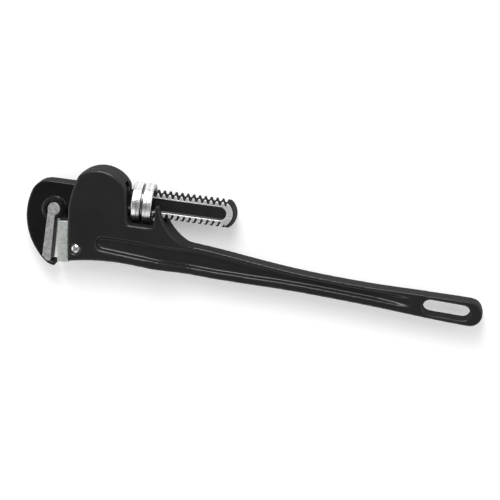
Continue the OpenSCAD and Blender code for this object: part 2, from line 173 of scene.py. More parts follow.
@dataclass(frozen=True)
class Finish:
    """What every finish has: a colour, a gloss and the slot it stands for."""

    name: str
    colour: str
    roughness: float
    slot: Slot

    def material(self) -> bpy.types.Material:
        """Builds the Blender material.

        Returns:
            A new node material.
        """
        material = bpy.data.materials.new(self.name)
        material.use_nodes = True
        tree = material.node_tree
        tree.nodes.clear()
        shader = add_node(
            tree, "ShaderNodeBsdfPrincipled", Base_Color=linear(self.colour), Roughness=self.roughness)
        add_node(tree, "ShaderNodeOutputMaterial", Surface=shader.outputs["BSDF"])
        place = add_node(tree, "ShaderNodeTexCoord").outputs["Object"]
        self.dress(tree, shader, place)
        return material

    def dress(self, tree: bpy.types.NodeTree, shader: bpy.types.Node, place: bpy.types.NodeSocket) -> None:
        """Adds the finish's own patterns.

        Args:
            tree: The node tree.
            shader: The Principled shader.
            place: The point on the object, in metres.
        """
        raise NotImplementedError

    def facing(self, tree: bpy.types.NodeTree) -> bpy.types.NodeSocket:
        """Gives 1 on a cheek, which lies flat, and 0 on a side wall, which stands upright."""
        normal = add_node(tree, "ShaderNodeTexCoord").outputs["Normal"]
        z = add_node(tree, "ShaderNodeSeparateXYZ", Vector=normal).outputs["Z"]
        return add_node(tree, "ShaderNodeMath", {"operation": "ABSOLUTE"}, i0=z).outputs["Value"]

    def bump(self, tree: bpy.types.NodeTree, shader: bpy.types.Node,
             height: bpy.types.NodeSocket, depth_mm: float,
             below: bpy.types.Node | None = None) -> bpy.types.Node:
        """Adds relief of a real depth to the surface.

        Args:
            tree: The node tree.
            shader: The shader whose normal it bends.
            height: The pattern, 0 to 1.
            depth_mm: How deep the pattern goes.
            below: A bump that this one lies on.

        Returns:
            The bump node.
        """
        node = add_node(tree, "ShaderNodeBump", Strength=1.0, Distance=depth_mm * MM, Height=height)
        if below is not None:
            tree.links.new(below.outputs["Normal"], node.inputs["Normal"])
        tree.links.new(node.outputs["Normal"], shader.inputs["Normal"])
        return node


@dataclass(frozen=True)
class BakedEnamel(Finish):
    """Black enamel, sprayed and baked on a sand casting.

    The thick film rounds the sand's grain to an orange peel, so the light breaks up softly on the
    cheeks. The upright sides get less paint and keep the sand's full grain, so they look matt. Sharp
    edges are painted a greyer line: partly the film rubbed thin, partly a painted highlight.
    """

    edge_wear_and_highlight_colour: str = "#3a3935"
    side_roughness: float = 1.0
    fillet_roughness: float = 0.26
    peel_mm: float = 2.2
    sand_mm: float = 0.7
    cloud_mm: float = 38.0

    def dress(self, tree: bpy.types.NodeTree, shader: bpy.types.Node, place: bpy.types.NodeSocket) -> None:
        """Adds the peel, the casting's skin under it and the greyer edges, part wear and part painted
        highlight.
        """
        peel = add_node(tree, "ShaderNodeTexNoise", Vector=place, Scale=per_metre(self.peel_mm), Detail=2.0)
        sand = add_node(tree, "ShaderNodeTexNoise", Vector=place, Scale=per_metre(self.sand_mm), Detail=3.0)
        cloud = add_node(
            tree, "ShaderNodeTexNoise", Vector=place, Scale=per_metre(self.cloud_mm), Detail=4.0)
        base = linear(self.colour)
        film = ramp(tree, cloud.outputs["Fac"], [
            (0.3, tuple(c * 0.8 for c in base[:3]) + (1.0,)),
            (0.7, tuple(c * 1.25 for c in base[:3]) + (1.0,))])
        # Sharp edges are painted greyer: partly rubbed film, partly a painted highlight line along them.
        edge = add_node(tree, "ShaderNodeNewGeometry").outputs["Pointiness"]
        edge_wear_and_highlight_level = add_node(
            tree, "ShaderNodeMath", {"operation": "MULTIPLY_ADD"}, i0=peel.outputs["Fac"], i1=0.03, i2=edge)
        wear_and_highlight_mask = ramp(tree, edge_wear_and_highlight_level.outputs["Value"], [(0.55, grey(0)), (0.62, grey(0.5))])
        worn_and_highlit = add_node(
            tree, "ShaderNodeMix", {"data_type": "RGBA"}, Factor=wear_and_highlight_mask, A=film, B=linear(self.edge_wear_and_highlight_colour))
        tree.links.new(worn_and_highlit.outputs["Result"], shader.inputs["Base Color"])
        gloss = ramp(tree, self.facing(tree), [
            (0.25, grey(self.side_roughness)), (0.55, grey(self.fillet_roughness)),
            (0.85, grey(self.fillet_roughness)), (0.97, grey(self.roughness))])
        uneven = add_node(tree, "ShaderNodeMath", {"operation": "MULTIPLY_ADD"},
                          i0=cloud.outputs["Fac"], i1=0.12, i2=gloss)
        lowered = add_node(
            tree, "ShaderNodeMath", {"operation": "SUBTRACT"}, i0=uneven.outputs["Value"], i1=0.06)
        tree.links.new(lowered.outputs["Value"], shader.inputs["Roughness"])
        shader.inputs["Specular IOR Level"].default_value = 0.45
        skin = self.bump(tree, shader, sand.outputs["Fac"], 0.035)
        self.bump(tree, shader, peel.outputs["Fac"], 0.08, skin)


@dataclass(frozen=True)
class BlackOxide(Finish):
    """Drop-forged steel, blackened hot and oiled.

    The scale's faint pits stay under the black, and the oil makes it deeper and glossier than paint.
    """

    side_roughness: float = 0.9
    pit_mm: float = 0.9
    flow_mm: float = 14.0

    def dress(self, tree: bpy.types.NodeTree, shader: bpy.types.Node, place: bpy.types.NodeSocket) -> None:
        """Adds the forging's pits, its rougher trimmed sides and the uneven oil."""
        pits = add_node(tree, "ShaderNodeTexNoise", Vector=place, Scale=per_metre(self.pit_mm), Detail=4.0)
        oil = add_node(tree, "ShaderNodeTexNoise", Vector=place, Scale=per_metre(self.flow_mm), Detail=2.0)
        gloss = ramp(
            tree, self.facing(tree), [(0.25, grey(self.side_roughness)), (0.55, grey(self.roughness))])
        uneven = add_node(tree, "ShaderNodeMath", {"operation": "MULTIPLY_ADD"},
                          i0=oil.outputs["Fac"], i1=0.16, i2=gloss)
        lowered = add_node(
            tree, "ShaderNodeMath", {"operation": "SUBTRACT"}, i0=uneven.outputs["Value"], i1=0.08)
        tree.links.new(lowered.outputs["Value"], shader.inputs["Roughness"])
        shader.inputs["Specular IOR Level"].default_value = 0.4
        self.bump(tree, shader, pits.outputs["Fac"], 0.03)


@dataclass(frozen=True)
class GroundFlats(BlackOxide):
    """The shank: blackened all over, its flats ground bright behind the nut and painted shade-black before
    it.

    The wheel leaves fine lines along the shank, and it never reaches the sunk panel or the thread.
    """

    bright: str = "#e9e9ea"
    shadow: str = "#b4b5b7"
    ground_roughness: float = 0.48
    flat_from_mm: float = 7.82
    painted_shade_until_x_mm: float = 46.0
    mid_mm: float = 20.0
    line_mm: float = 0.6

    def dress(self, tree: bpy.types.NodeTree, shader: bpy.types.Node, place: bpy.types.NodeSocket) -> None:
        """Masks the flats by their height above the middle plane and grinds them, but paints them
        shade-black in front of the nut.
        """
        super().dress(tree, shader, place)
        at = add_node(tree, "ShaderNodeSeparateXYZ", Vector=place)
        above = add_node(
            tree, "ShaderNodeMath", {"operation": "SUBTRACT"}, i0=at.outputs["Z"], i1=self.mid_mm * MM)
        height = add_node(tree, "ShaderNodeMath", {"operation": "ABSOLUTE"}, i0=above.outputs["Value"])
        high = add_node(tree, "ShaderNodeMath", {"operation": "GREATER_THAN"},
                        i0=height.outputs["Value"], i1=self.flat_from_mm * MM)
        # Flats in front of this x stay black: painted shade of the hood's inside, not a real finish.
        past_painted_shade = add_node(tree, "ShaderNodeMath", {"operation": "GREATER_THAN"},
                          i0=at.outputs["X"], i1=self.painted_shade_until_x_mm * MM)
        flat = add_node(tree, "ShaderNodeMath", {"operation": "MULTIPLY"},
                        i0=high.outputs["Value"], i1=past_painted_shade.outputs["Value"]).outputs["Value"]
        stretch = add_node(tree, "ShaderNodeMapping", Vector=place, Scale=(0.04, 1.0, 1.0))
        lines = add_node(tree, "ShaderNodeTexNoise", Vector=stretch.outputs["Vector"],
                         Scale=per_metre(self.line_mm), Detail=3.0)
        steel = ramp(tree, lines.outputs["Fac"], [(0.3, linear(self.shadow)), (0.6, linear(self.bright))])
        colour = add_node(
            tree, "ShaderNodeMix", {"data_type": "RGBA"}, Factor=flat, A=linear(self.colour), B=steel)
        tree.links.new(colour.outputs["Result"], shader.inputs["Base Color"])
        tree.links.new(flat, shader.inputs["Metallic"])
        black = shader.inputs["Roughness"].links[0].from_socket
        gloss = add_node(tree, "ShaderNodeMix", Factor=flat, A=black, B=self.ground_roughness)
        tree.links.new(gloss.outputs["Result"], shader.inputs["Roughness"])


@dataclass(frozen=True)
class GroundSteel(Finish):
    """Hardened tool steel, ground on its sides.

    The sides keep the wheel's fine lines and a mottled grey from the quench. The toothed edge and
    the edge behind it are painted near-black as painted shade, and are not metallic.
    """

    dark: str = "#6f7170"
    tooth_shade_colour: str = "#171615"
    mottle_mm: float = 3.4
    line_mm: float = 0.6
    grain: tuple[float, float, float] = (1.0, 0.05, 1.0)

    def dress(self, tree: bpy.types.NodeTree, shader: bpy.types.Node, place: bpy.types.NodeSocket) -> None:
        """Adds the mottle, the grinding lines and the edges painted black as shade."""
        stretch = add_node(tree, "ShaderNodeMapping", Vector=place, Scale=self.grain)
        lines = add_node(tree, "ShaderNodeTexNoise", Vector=stretch.outputs["Vector"],
                         Scale=per_metre(self.line_mm), Detail=3.0)
        mottle = add_node(
            tree, "ShaderNodeTexNoise", Vector=place, Scale=per_metre(self.mottle_mm), Detail=5.0)
        steel = ramp(tree, mottle.outputs["Fac"], [(0.32, linear(self.dark)), (0.62, linear(self.colour))])
        # Faces turned along x, the toothed edge and the one behind it, are painted near-black: painted
        # shade.
        normal = add_node(tree, "ShaderNodeTexCoord").outputs["Normal"]
        x = add_node(tree, "ShaderNodeSeparateXYZ", Vector=normal).outputs["X"]
        edgewise = add_node(tree, "ShaderNodeMath", {"operation": "ABSOLUTE"}, i0=x).outputs["Value"]
        black = ramp(tree, edgewise, [(0.35, grey(0)), (0.6, grey(1))])
        colour = add_node(tree, "ShaderNodeMix", {"data_type": "RGBA"}, Factor=black, A=steel,
                          B=linear(self.tooth_shade_colour))
        tree.links.new(colour.outputs["Result"], shader.inputs["Base Color"])
        bright = add_node(tree, "ShaderNodeMath", {"operation": "SUBTRACT"}, i0=1.0, i1=black)
        tree.links.new(bright.outputs["Value"], shader.inputs["Metallic"])
        gloss = ramp(tree, lines.outputs["Fac"], [
            (0.3, grey(self.roughness - 0.08)), (0.7, grey(self.roughness + 0.1))])
        tree.links.new(gloss, shader.inputs["Roughness"])
        shader.inputs["Specular IOR Level"].default_value = 0.25
        self.bump(tree, shader, lines.outputs["Fac"], 0.012)


@dataclass(frozen=True)
class BrightPlate(Finish):
    """Turned or drawn steel, bright zinc plated.

    The plate is nearly white and blurs what it mirrors. Faint turning marks run round the piece,
    drawn coarser than a lathe leaves them so that they show.
    """

    mark_colour: str = "#b9bbbc"
    mark_mm: float = 1.3
    cloud_mm: float = 5.0
    grain: tuple[float, float, float] = (1.0, 0.05, 0.05)

    def dress(self, tree: bpy.types.NodeTree, shader: bpy.types.Node, place: bpy.types.NodeSocket) -> None:
        """Adds the turning marks and the plate's slight clouding."""
        stretch = add_node(tree, "ShaderNodeMapping", Vector=place, Scale=self.grain)
        marks = add_node(tree, "ShaderNodeTexNoise", Vector=stretch.outputs["Vector"],
                         Scale=per_metre(self.mark_mm), Detail=2.0)
        cloud = add_node(
            tree, "ShaderNodeTexNoise", Vector=place, Scale=per_metre(self.cloud_mm), Detail=3.0)
        plate = ramp(
            tree, marks.outputs["Fac"], [(0.35, linear(self.mark_colour)), (0.55, linear(self.colour))])
        tree.links.new(plate, shader.inputs["Base Color"])
        gloss = ramp(tree, cloud.outputs["Fac"], [
            (0.3, grey(self.roughness - 0.05)), (0.7, grey(self.roughness + 0.08))])
        tree.links.new(gloss, shader.inputs["Roughness"])
        shader.inputs["Metallic"].default_value = 1.0
        self.bump(tree, shader, marks.outputs["Fac"], 0.02)


@dataclass(frozen=True)
class NutPlate(BrightPlate):
    """The nut's zinc plate, painted darker in its groove and on its inner thread as painted shade."""

    groove_shade_colour: str = "#757472"
    shade_below_mm: float = 18.3
    mid_mm: float = 20.0

    def dress(self, tree: bpy.types.NodeTree, shader: bpy.types.Node, place: bpy.types.NodeSocket) -> None:
        """Darkens all that lies nearer the axis than the two bands, as painted shade."""
        super().dress(tree, shader, place)
        plate = shader.inputs["Base Color"].links[0].from_socket
        # Painted shade: the groove, the end faces and the bore are darkened by their radius.
        spoke = add_node(tree, "ShaderNodeVectorMath", {"operation": "MULTIPLY_ADD"},
                         i0=place, i1=(0.0, 1.0, 1.0), i2=(0.0, 0.0, -self.mid_mm * MM))
        radius = add_node(tree, "ShaderNodeVectorMath", {"operation": "LENGTH"}, i0=spoke.outputs["Vector"])
        band = add_node(tree, "ShaderNodeMapRange", Value=radius.outputs["Value"],
                        From_Min=self.shade_below_mm * MM, From_Max=(self.shade_below_mm + 0.8) * MM)
        colour = add_node(tree, "ShaderNodeMix", {"data_type": "RGBA"}, Factor=band.outputs["Result"],
                          A=linear(self.groove_shade_colour), B=plate)
        tree.links.new(colour.outputs["Result"], shader.inputs["Base Color"])


@dataclass(frozen=True)
class SpringSteel(Finish):
    """Spring steel, blued by its tempering and oiled: dark, with a cold straw-to-blue cast."""

    cast: str = "#3b4652"
    cloud_mm: float = 3.0

    def dress(self, tree: bpy.types.NodeTree, shader: bpy.types.Node, place: bpy.types.NodeSocket) -> None:
        """Adds the temper's drifting colour."""
        cloud = add_node(
            tree, "ShaderNodeTexNoise", Vector=place, Scale=per_metre(self.cloud_mm), Detail=3.0)
        colour = ramp(tree, cloud.outputs["Fac"], [(0.35, linear(self.colour)), (0.65, linear(self.cast))])
        tree.links.new(colour, shader.inputs["Base Color"])
        shader.inputs["Metallic"].default_value = 1.0


ENAMEL = BakedEnamel("black_baked_enamel", "#111111", 0.36, Slot.ENAMEL)
OXIDE = BlackOxide("black_oxide_forging", "#040303", 0.26, Slot.OXIDE)
SHANK_STEEL = GroundFlats("oxide_with_ground_flats", "#050404", 0.45, Slot.OXIDE)
INSERT_STEEL = GroundSteel("ground_tool_steel", "#d2d2d1", 0.44, Slot.INSERT, dark="#a9aaa9")
HEEL_STEEL = GroundSteel("ground_heel_steel", "#dde1dc", 0.48, Slot.HEEL, dark="#bfc6c0")
ZINC = NutPlate("bright_zinc_plate", "#eceded", 0.27, Slot.ZINC)
PIN_STEEL = BrightPlate("bright_drawn_steel", "#dcdcda", 0.22, Slot.PIN)
SPRING = SpringSteel("oiled_spring_steel", "#5a5348", 0.3, Slot.SPRING)


# ---------------------------------------------------------------- mesh tools


def welded(node: bpy.types.Object) -> bmesh.types.BMesh:
    """Copies a CAD node's mesh and joins its split corners.

    Args:
        node: The CAD node's object, which stays as it is.

    Returns:
        The copy, as a BMesh.
    """
    mesh = bmesh.new()
    mesh.from_mesh(node.data)
    bmesh.ops.remove_doubles(mesh, verts=mesh.verts, dist=0.002 * MM)
    return mesh


def as_object(mesh: bmesh.types.BMesh, name: str) -> bpy.types.Object:
    """Turns a BMesh to an object in the scene and frees it.

    Args:
        mesh: The BMesh.
        name: The object's name.

    Returns:
        The new object.
    """
    data = bpy.data.meshes.new(name)
    mesh.to_mesh(data)
    mesh.free()
    piece = bpy.data.objects.new(name, data)
    bpy.context.scene.collection.objects.link(piece)
    return piece


def settle(piece: bpy.types.Object) -> None:
    """Applies the object's modifiers to its mesh."""
    graph = bpy.context.evaluated_depsgraph_get()
    data = bpy.data.meshes.new_from_object(piece.evaluated_get(graph))
    piece.modifiers.clear()
    piece.data = data


def shade(piece: bpy.types.Object, sharp_deg: float) -> None:
    """Shades the piece smooth, with a crease where two faces meet at more than an angle."""
    piece.data.polygons.foreach_set("use_smooth", [True] * len(piece.data.polygons))
    piece.data.set_sharp_from_angle(angle=math.radians(sharp_deg))


def softened(mesh: bmesh.types.BMesh, name: str, voxel_mm: float, passes: int) -> bpy.types.Object:
    """Makes a cast or forged skin: an even mesh whose corners are rounded as a mould rounds them.

    Args:
        mesh: The hard-edged shape, which is freed.
        name: The new object's name.
        voxel_mm: The skin's grid.
        passes: How often the corners are smoothed.

    Returns:
        The new object.
    """
    piece = as_object(mesh, name)
    grid = piece.modifiers.new("grid", "REMESH")
    grid.mode = "VOXEL"
    grid.voxel_size = voxel_mm * MM
    rounding = piece.modifiers.new("rounding", "SMOOTH")
    rounding.factor = 0.5
    rounding.iterations = passes
    settle(piece)
    piece.data.polygons.foreach_set("use_smooth", [True] * len(piece.data.polygons))
    return piece


def round_further(piece: bpy.types.Object, share: Callable[[Vector], float], passes: int) -> None:
    """Rounds some of a skin's corners more than the rest.

    Args:
        piece: The skin.
        share: Gives how much of the rounding a place gets, from its point in millimetres.
        passes: How often the corners are smoothed.
    """
    group = piece.vertex_groups.new(name="rounder")
    levels = 20
    batches: dict[int, list[int]] = {}
    for vert in piece.data.vertices:
        batches.setdefault(round(share(vert.co / MM) * levels), []).append(vert.index)
    for level, indices in batches.items():
        if level > 0:
            group.add(indices, level / levels, "REPLACE")
    rounding = piece.modifiers.new("rounder", "SMOOTH")
    rounding.factor = 0.5
    rounding.iterations = passes
    rounding.vertex_group = group.name
    settle(piece)
    piece.vertex_groups.clear()


def machined(node: bpy.types.Object, name: str, edge_mm: float) -> bpy.types.Object:
    """Makes a ground or milled piece: flat faces with their sharp edges broken.

    Args:
        node: The CAD node's object.
        name: The new object's name.
        edge_mm: Width of the broken edge.

    Returns:
        The new object.
    """
    mesh = welded(node)
    bmesh.ops.dissolve_limit(mesh, angle_limit=math.radians(1.5), verts=mesh.verts, edges=mesh.edges)
    sharp = [e for e in mesh.edges if e.is_manifold and e.calc_face_angle(0.0) > math.radians(24)]
    bmesh.ops.bevel(mesh, geom=sharp, offset=edge_mm * MM, offset_type="OFFSET", segments=2, profile=0.5,
                    affect="EDGES", clamp_overlap=True)
    bmesh.ops.triangulate(mesh, faces=[f for f in mesh.faces if len(f.verts) > 4])
    piece = as_object(mesh, name)
    shade(piece, 32)
    return piece


def loft(rows: list[list[Vector]], closed_rows: bool, capped: bool) -> bmesh.types.BMesh:
    """Skins rings of equal length.

    Args:
        rows: The rings, each a closed loop of points.
        closed_rows: True if the last ring joins the first.
        capped: True if the first and last ring are filled.

    Returns:
        The skin.
    """
    mesh = bmesh.new()
    verts = [[mesh.verts.new(p) for p in row] for row in rows]
    pairs = list(zip(verts, verts[1:] + verts[:1])) if closed_rows else list(zip(verts, verts[1:]))
    for low, high in pairs:
        for i in range(len(low)):
            j = (i + 1) % len(low)
            mesh.faces.new((low[i], low[j], high[j], high[i]))
    if capped:
        mesh.faces.new(list(reversed(verts[0])))
        mesh.faces.new(verts[-1])
    bmesh.ops.recalc_face_normals(mesh, faces=mesh.faces)
    return mesh


def dress(piece: bpy.types.Object, finish: Finish, body: Body, *nodes: str) -> bpy.types.Object:
    """Gives a piece its finish and its body, and hides the CAD nodes it stands for.

    Args:
        piece: The new object.
        finish: Its finish.
        body: The body that it rides on.
        *nodes: The CAD nodes that it replaces.

    Returns:
        The piece.
    """
    if not piece.data.materials:
        piece.data.materials.append(finish.material())
    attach(piece, body.value)
    if nodes:
        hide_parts(*nodes)
    log.info("%s: %d faces on %s", piece.name, len(piece.data.polygons), body.value)
    return piece


# ---------------------------------------------------------------- the wrench


@dataclass
class Housing:
    """The one casting: handle, hood, nut window and heel seat."""

    voxel_mm: float = 0.75
    passes: int = 14
    extra_passes: int = 34
    mid_mm: float = 20.0
    slot_half_mm: float = 13.0
    ears_x_mm: float = 56.0
    handle_x_mm: float = 80.0
    handle_share: float = 0.3
    seam_h_mm: float = 0.22
    seam_w_mm: float = 0.7

    def build(self, node: bpy.types.Object) -> bpy.types.Object:
        """Casts the handle and housing.

        Args:
            node: The CAD node handle_housing.

        Returns:
            The casting.
        """
        piece = softened(welded(node), "cast_handle_and_housing", self.voxel_mm, self.passes)
        round_further(piece, self.rounding, self.extra_passes)
        self.raise_seam(piece, self.mid_mm * MM)
        return dress(piece, ENAMEL, Body.FRAME, "handle_housing")

    def rounding(self, at: Vector) -> float:
        """Says how much rounder than the rest a place is: the head's outer edges most, the handle's less.

        Args:
            at: The place, in millimetres.

        Returns:
            0 for no more rounding, 1 for all of it.
        """
        outside = smoothstep(self.slot_half_mm - 1, self.slot_half_mm + 1, abs(at.z - self.mid_mm))
        head = 1 - smoothstep(self.ears_x_mm - 4, self.ears_x_mm + 2, at.x)
        handle = smoothstep(self.ears_x_mm + 12, self.handle_x_mm, at.x)
        return outside * head + self.handle_share * handle

    def raise_seam(self, piece: bpy.types.Object, mid_z: float) -> None:
        """Leaves the ground-down seam of the mould's two halves round the casting's middle.

        Args:
            piece: The casting.
            mid_z: Height of the seam.
        """
        for vert in piece.data.vertices:
            near = math.exp(-(((vert.co.z - mid_z) / (self.seam_w_mm * MM)) ** 2))
            if near > 0.05 and abs(vert.normal.z) < 0.5:
                vert.co += vert.normal * near * self.seam_h_mm * MM


@dataclass
class HookJaw:
    """The forged hook and its threaded shank, one forging."""

    voxel_mm: float = 0.6
    passes: int = 8
    extra_passes: int = 20
    neck_x_mm: float = -24.0
    root_r_mm: float = 6.2
    boss_r_mm: float = 12.5
    boss_edge_mm: float = 1.3
    boss_h_mm: float = 0.7
    joint_x_mm: float = 18.9
    row_mm: float = 0.3
    spokes: int = 256
    pitch_mm: float = 5.8
    thread_x_mm: float = 46.9
    crest_r_mm: float = 14.0
    core_r_mm: float = 11.0
    crest_w_mm: float = 1.6
    root_w_mm: float = 4.4
    half_flat_mm: float = 8.0
    plain_r_mm: float = 13.8
    plain_l_mm: float = 10.9
    dome_r_mm: float = 17.0
    dome_half_z_mm: float = 12.2
    panel_h_mm: float = 13.4
    panel_depth_mm: float = 1.5
    panel_end_mm: float = 10.4
    edge_mm: float = 0.35

    def build(self, node: bpy.types.Object) -> bpy.types.Object:
        """Forges the hook and cuts its thread.

        Args:
            node: The CAD node hook_jaw.

        Returns:
            The hook jaw.
        """
        low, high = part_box("hook_jaw")
        head = self.head(node)
        shank = as_object(self.shank(high.x / MM, (low.z + high.z) / 2), "shank")
        head.data.materials.append(OXIDE.material())
        whole = bmesh.new()
        whole.from_mesh(head.data)
        split = len(whole.faces)
        whole.from_mesh(shank.data)
        whole.faces.ensure_lookup_table()
        for face in whole.faces[split:]:
            face.material_index = 1
        for part in (head, shank):
            bpy.data.objects.remove(part)
        piece = as_object(whole, "forged_hook_jaw")
        piece.data.materials.append(OXIDE.material())
        piece.data.materials.append(SHANK_STEEL.material())
        shade(piece, 40)
        return dress(piece, OXIDE, Body.HOOK, "hook_jaw")

    def head(self, node: bpy.types.Object) -> bpy.types.Object:
        """Takes the hook and its neck, and rounds them as a forging."""
        mesh = welded(node)
        cut = bmesh.ops.bisect_plane(mesh, geom=mesh.verts[:] + mesh.edges[:] + mesh.faces[:],
                                     plane_co=(self.joint_x_mm * MM, 0, 0), plane_no=(1, 0, 0),
                                     clear_outer=True)
        rim = [e for e in cut["geom_cut"] if isinstance(e, bmesh.types.BMEdge)]
        bmesh.ops.holes_fill(mesh, edges=rim)
        head = softened(mesh, "hook_head", self.voxel_mm, self.passes)
        low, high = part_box("hook_jaw_insert")
        seat_x0, seat_x1, seat_y1 = low.x / MM - 2, high.x / MM + 2, high.y / MM

        def off_seat(at: Vector) -> float:
            """Rounds the outer edges, but not the insert's seat or the joint to the shank."""
            off = max(seat_x0 - at.x, at.x - seat_x1, at.y - seat_y1)
            return smoothstep(0, 4, off) * (1 - smoothstep(0, 8, at.x - self.neck_x_mm))

        round_further(head, off_seat, self.extra_passes)
        self.raise_boss(head)
        return head

    def raise_boss(self, head: bpy.types.Object) -> None:
        """Raises the forging's low round boss, which carries the insert's root, on both faces.

        Args:
            head: The hook.
        """
        low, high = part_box("hook_jaw_insert")
        centre = Vector((low.x / MM + self.root_r_mm + 2, high.y / MM - self.root_r_mm))
        mid = (low.z + high.z) / 2
        for vert in head.data.vertices:
            if abs(vert.normal.z) > 0.9:
                off = (vert.co.xy / MM - centre).length - self.boss_r_mm
                rise = 1 - smoothstep(-self.boss_edge_mm, self.boss_edge_mm, off)
                vert.co.z += math.copysign(rise * self.boss_h_mm * MM, vert.co.z - mid)

    def panel_distance(self, x: float, y: float, tip_x: float) -> float:
        """Gives how far outside the sunk panel a point of the flat lies, in mm (negative inside)."""
        half = self.panel_h_mm / 2
        start = self.joint_x_mm + self.panel_h_mm
        end = tip_x - self.panel_end_mm - half
        beyond = max(start - x, x - end, 0.0)
        return math.hypot(beyond, y) - half

    def radius(self, x: float, angle: float, tip_x: float) -> float:
        """Gives the shank's radius, in millimetres.

        Args:
            x: Place along the shank.
            angle: Angle about it, from +Y towards +Z.
            tip_x: Where the shank ends.

        Returns:
            The distance from the shank's axis to its surface.
        """
        turn = (x - self.thread_x_mm) / self.pitch_mm - angle / math.tau
        off = abs(turn - round(turn)) * self.pitch_mm
        flank = smoothstep(self.crest_w_mm / 2 - 0.15, self.root_w_mm / 2 + 0.1, off)
        thread = self.crest_r_mm - (self.crest_r_mm - self.core_r_mm) * flank
        plain_from = tip_x - self.plain_l_mm
        plain = smoothstep(plain_from - 0.4, plain_from + 0.4, x)
        thread += (self.plain_r_mm - thread) * plain
        into_dome = (x - (tip_x - self.dome_r_mm)) / self.dome_r_mm
        if into_dome > 0:
            spread = math.hypot(math.cos(angle) / self.dome_r_mm, math.sin(angle) / self.dome_half_z_mm)
            thread = min(thread, math.sqrt(max(1 - into_dome**2, 0.003)) / spread)
        side = max(abs(math.sin(angle)), 1e-4)
        sunk = 1 - smoothstep(
            -0.3, 0.3, self.panel_distance(x, self.half_flat_mm * math.cos(angle) / side, tip_x))
        flat = (self.half_flat_mm - self.panel_depth_mm * sunk) / side
        gap = abs(thread - flat)
        blend = max(self.edge_mm - gap, 0.0) / self.edge_mm
        return min(thread, flat) - blend * blend * self.edge_mm / 4

    def shank(self, tip_x: float, mid_z: float) -> bmesh.types.BMesh:
        """Cuts the threaded, flattened shank.

        Args:
            tip_x: Where the shank ends, in millimetres.
            mid_z: Height of its axis, in metres.

        Returns:
            The shank's skin.
        """
        start = self.joint_x_mm - 2
        count = round((tip_x - 0.05 - start) / self.row_mm)
        rows = []
        for i in range(count + 1):
            x = start + (tip_x - 0.05 - start) * i / count
            row = []
            for k in range(self.spokes):
                angle = math.tau * k / self.spokes
                r = self.radius(x, angle, tip_x)
                if x < self.joint_x_mm:
                    r = min(r, self.core_r_mm - 0.5)
                row.append(Vector((x * MM, r * math.cos(angle) * MM, mid_z + r * math.sin(angle) * MM)))
            rows.append(row)
        return loft(rows, closed_rows=False, capped=True)


@dataclass
class AdjustingNut:
    """The knurled nut: two fluted bands, a groove between them and a right-handed thread inside."""

    length_mm: float = 20.5
    outer_r_mm: float = 19.5
    bore_r_mm: float = 14.32
    tip_r_mm: float = 11.32
    chamfer_mm: float = 1.2
    groove_w_mm: float = 3.0
    groove_h_mm: float = 2.2
    pitch_mm: float = 5.8
    middle_x_mm: float = 45.0
    thread_x_mm: float = 46.9
    flutes: int = 90
    flute_h_mm: float = 0.12
    steps_per_flute: int = 4
    bore_step_mm: float = 0.4

    def build(self) -> bpy.types.Object:
        """Turns, knurls and taps the nut.

        Returns:
            The nut.
        """
        low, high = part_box("adjusting_nut")
        centre = (low + high) / 2
        outline = self.outline()
        spokes = self.flutes * self.steps_per_flute
        rows = []
        for k in range(spokes):
            angle = math.tau * k / spokes
            rows.append([self.point(x, r, fluted, angle, centre) for x, r, fluted in outline])
        piece = as_object(loft(rows, closed_rows=True, capped=False), "knurled_adjusting_nut")
        shade(piece, 35)
        return dress(piece, ZINC, Body.NUT, "adjusting_nut")

    def outline(self) -> list[tuple[float, float, float]]:
        """Gives the nut's section as x, radius and flute: 1 on a band, 0 elsewhere, -1 in the bore."""
        half, r, c = self.length_mm / 2, self.outer_r_mm, self.chamfer_mm
        groove, floor = self.groove_w_mm / 2, r - self.groove_h_mm
        right = [
            (0.0, floor, 0.0), (groove * 0.45, floor, 0.0),
            (groove - 0.15, r - 0.25, 0.0), (groove + 0.1, r, 0.0),
            (groove + 0.6, r, 1.0), (half - c - 0.5, r, 1.0),
            (half - c, r, 0.0), (half - c * 0.45, r - c * 0.3, 0.0),
            (half, r - c, 0.0), (half, self.bore_r_mm + 1.5, 0.0), (half - 1.5, self.bore_r_mm, 0.0),
        ]
        left = [(-x, radius, fluted) for x, radius, fluted in reversed(right[1:])]
        reach = half - 1.7
        count = round(2 * reach / self.bore_step_mm)
        bore = [(reach - 2 * reach * i / count, self.bore_r_mm, -1.0) for i in range(count + 1)]
        return left + right + bore

    def point(self, x: float, r: float, fluted: float, angle: float, centre: Vector) -> Vector:
        """Places one point of the nut.

        Args:
            x: Its place along the nut from the middle, in millimetres.
            r: Its radius, in millimetres.
            fluted: 1 on a fluted band, -1 on the threaded bore.
            angle: Angle from +Y towards +Z.
            centre: The nut's middle, in metres.

        Returns:
            The point, in metres.
        """
        if fluted > 0:
            r -= self.flute_h_mm * (0.5 - 0.5 * math.cos(angle * self.flutes))
        if fluted < 0:
            turn = (x + self.middle_x_mm - self.thread_x_mm) / self.pitch_mm - angle / math.tau - 0.5
            off = abs(turn - round(turn)) * self.pitch_mm
            ends = smoothstep(0.0, 1.5, self.length_mm / 2 - 1.7 - abs(x))
            r -= (self.bore_r_mm - self.tip_r_mm) * (1 - smoothstep(0.45, 1.75, off)) * ends
        return centre + Vector((x, r * math.cos(angle), r * math.sin(angle))) * MM


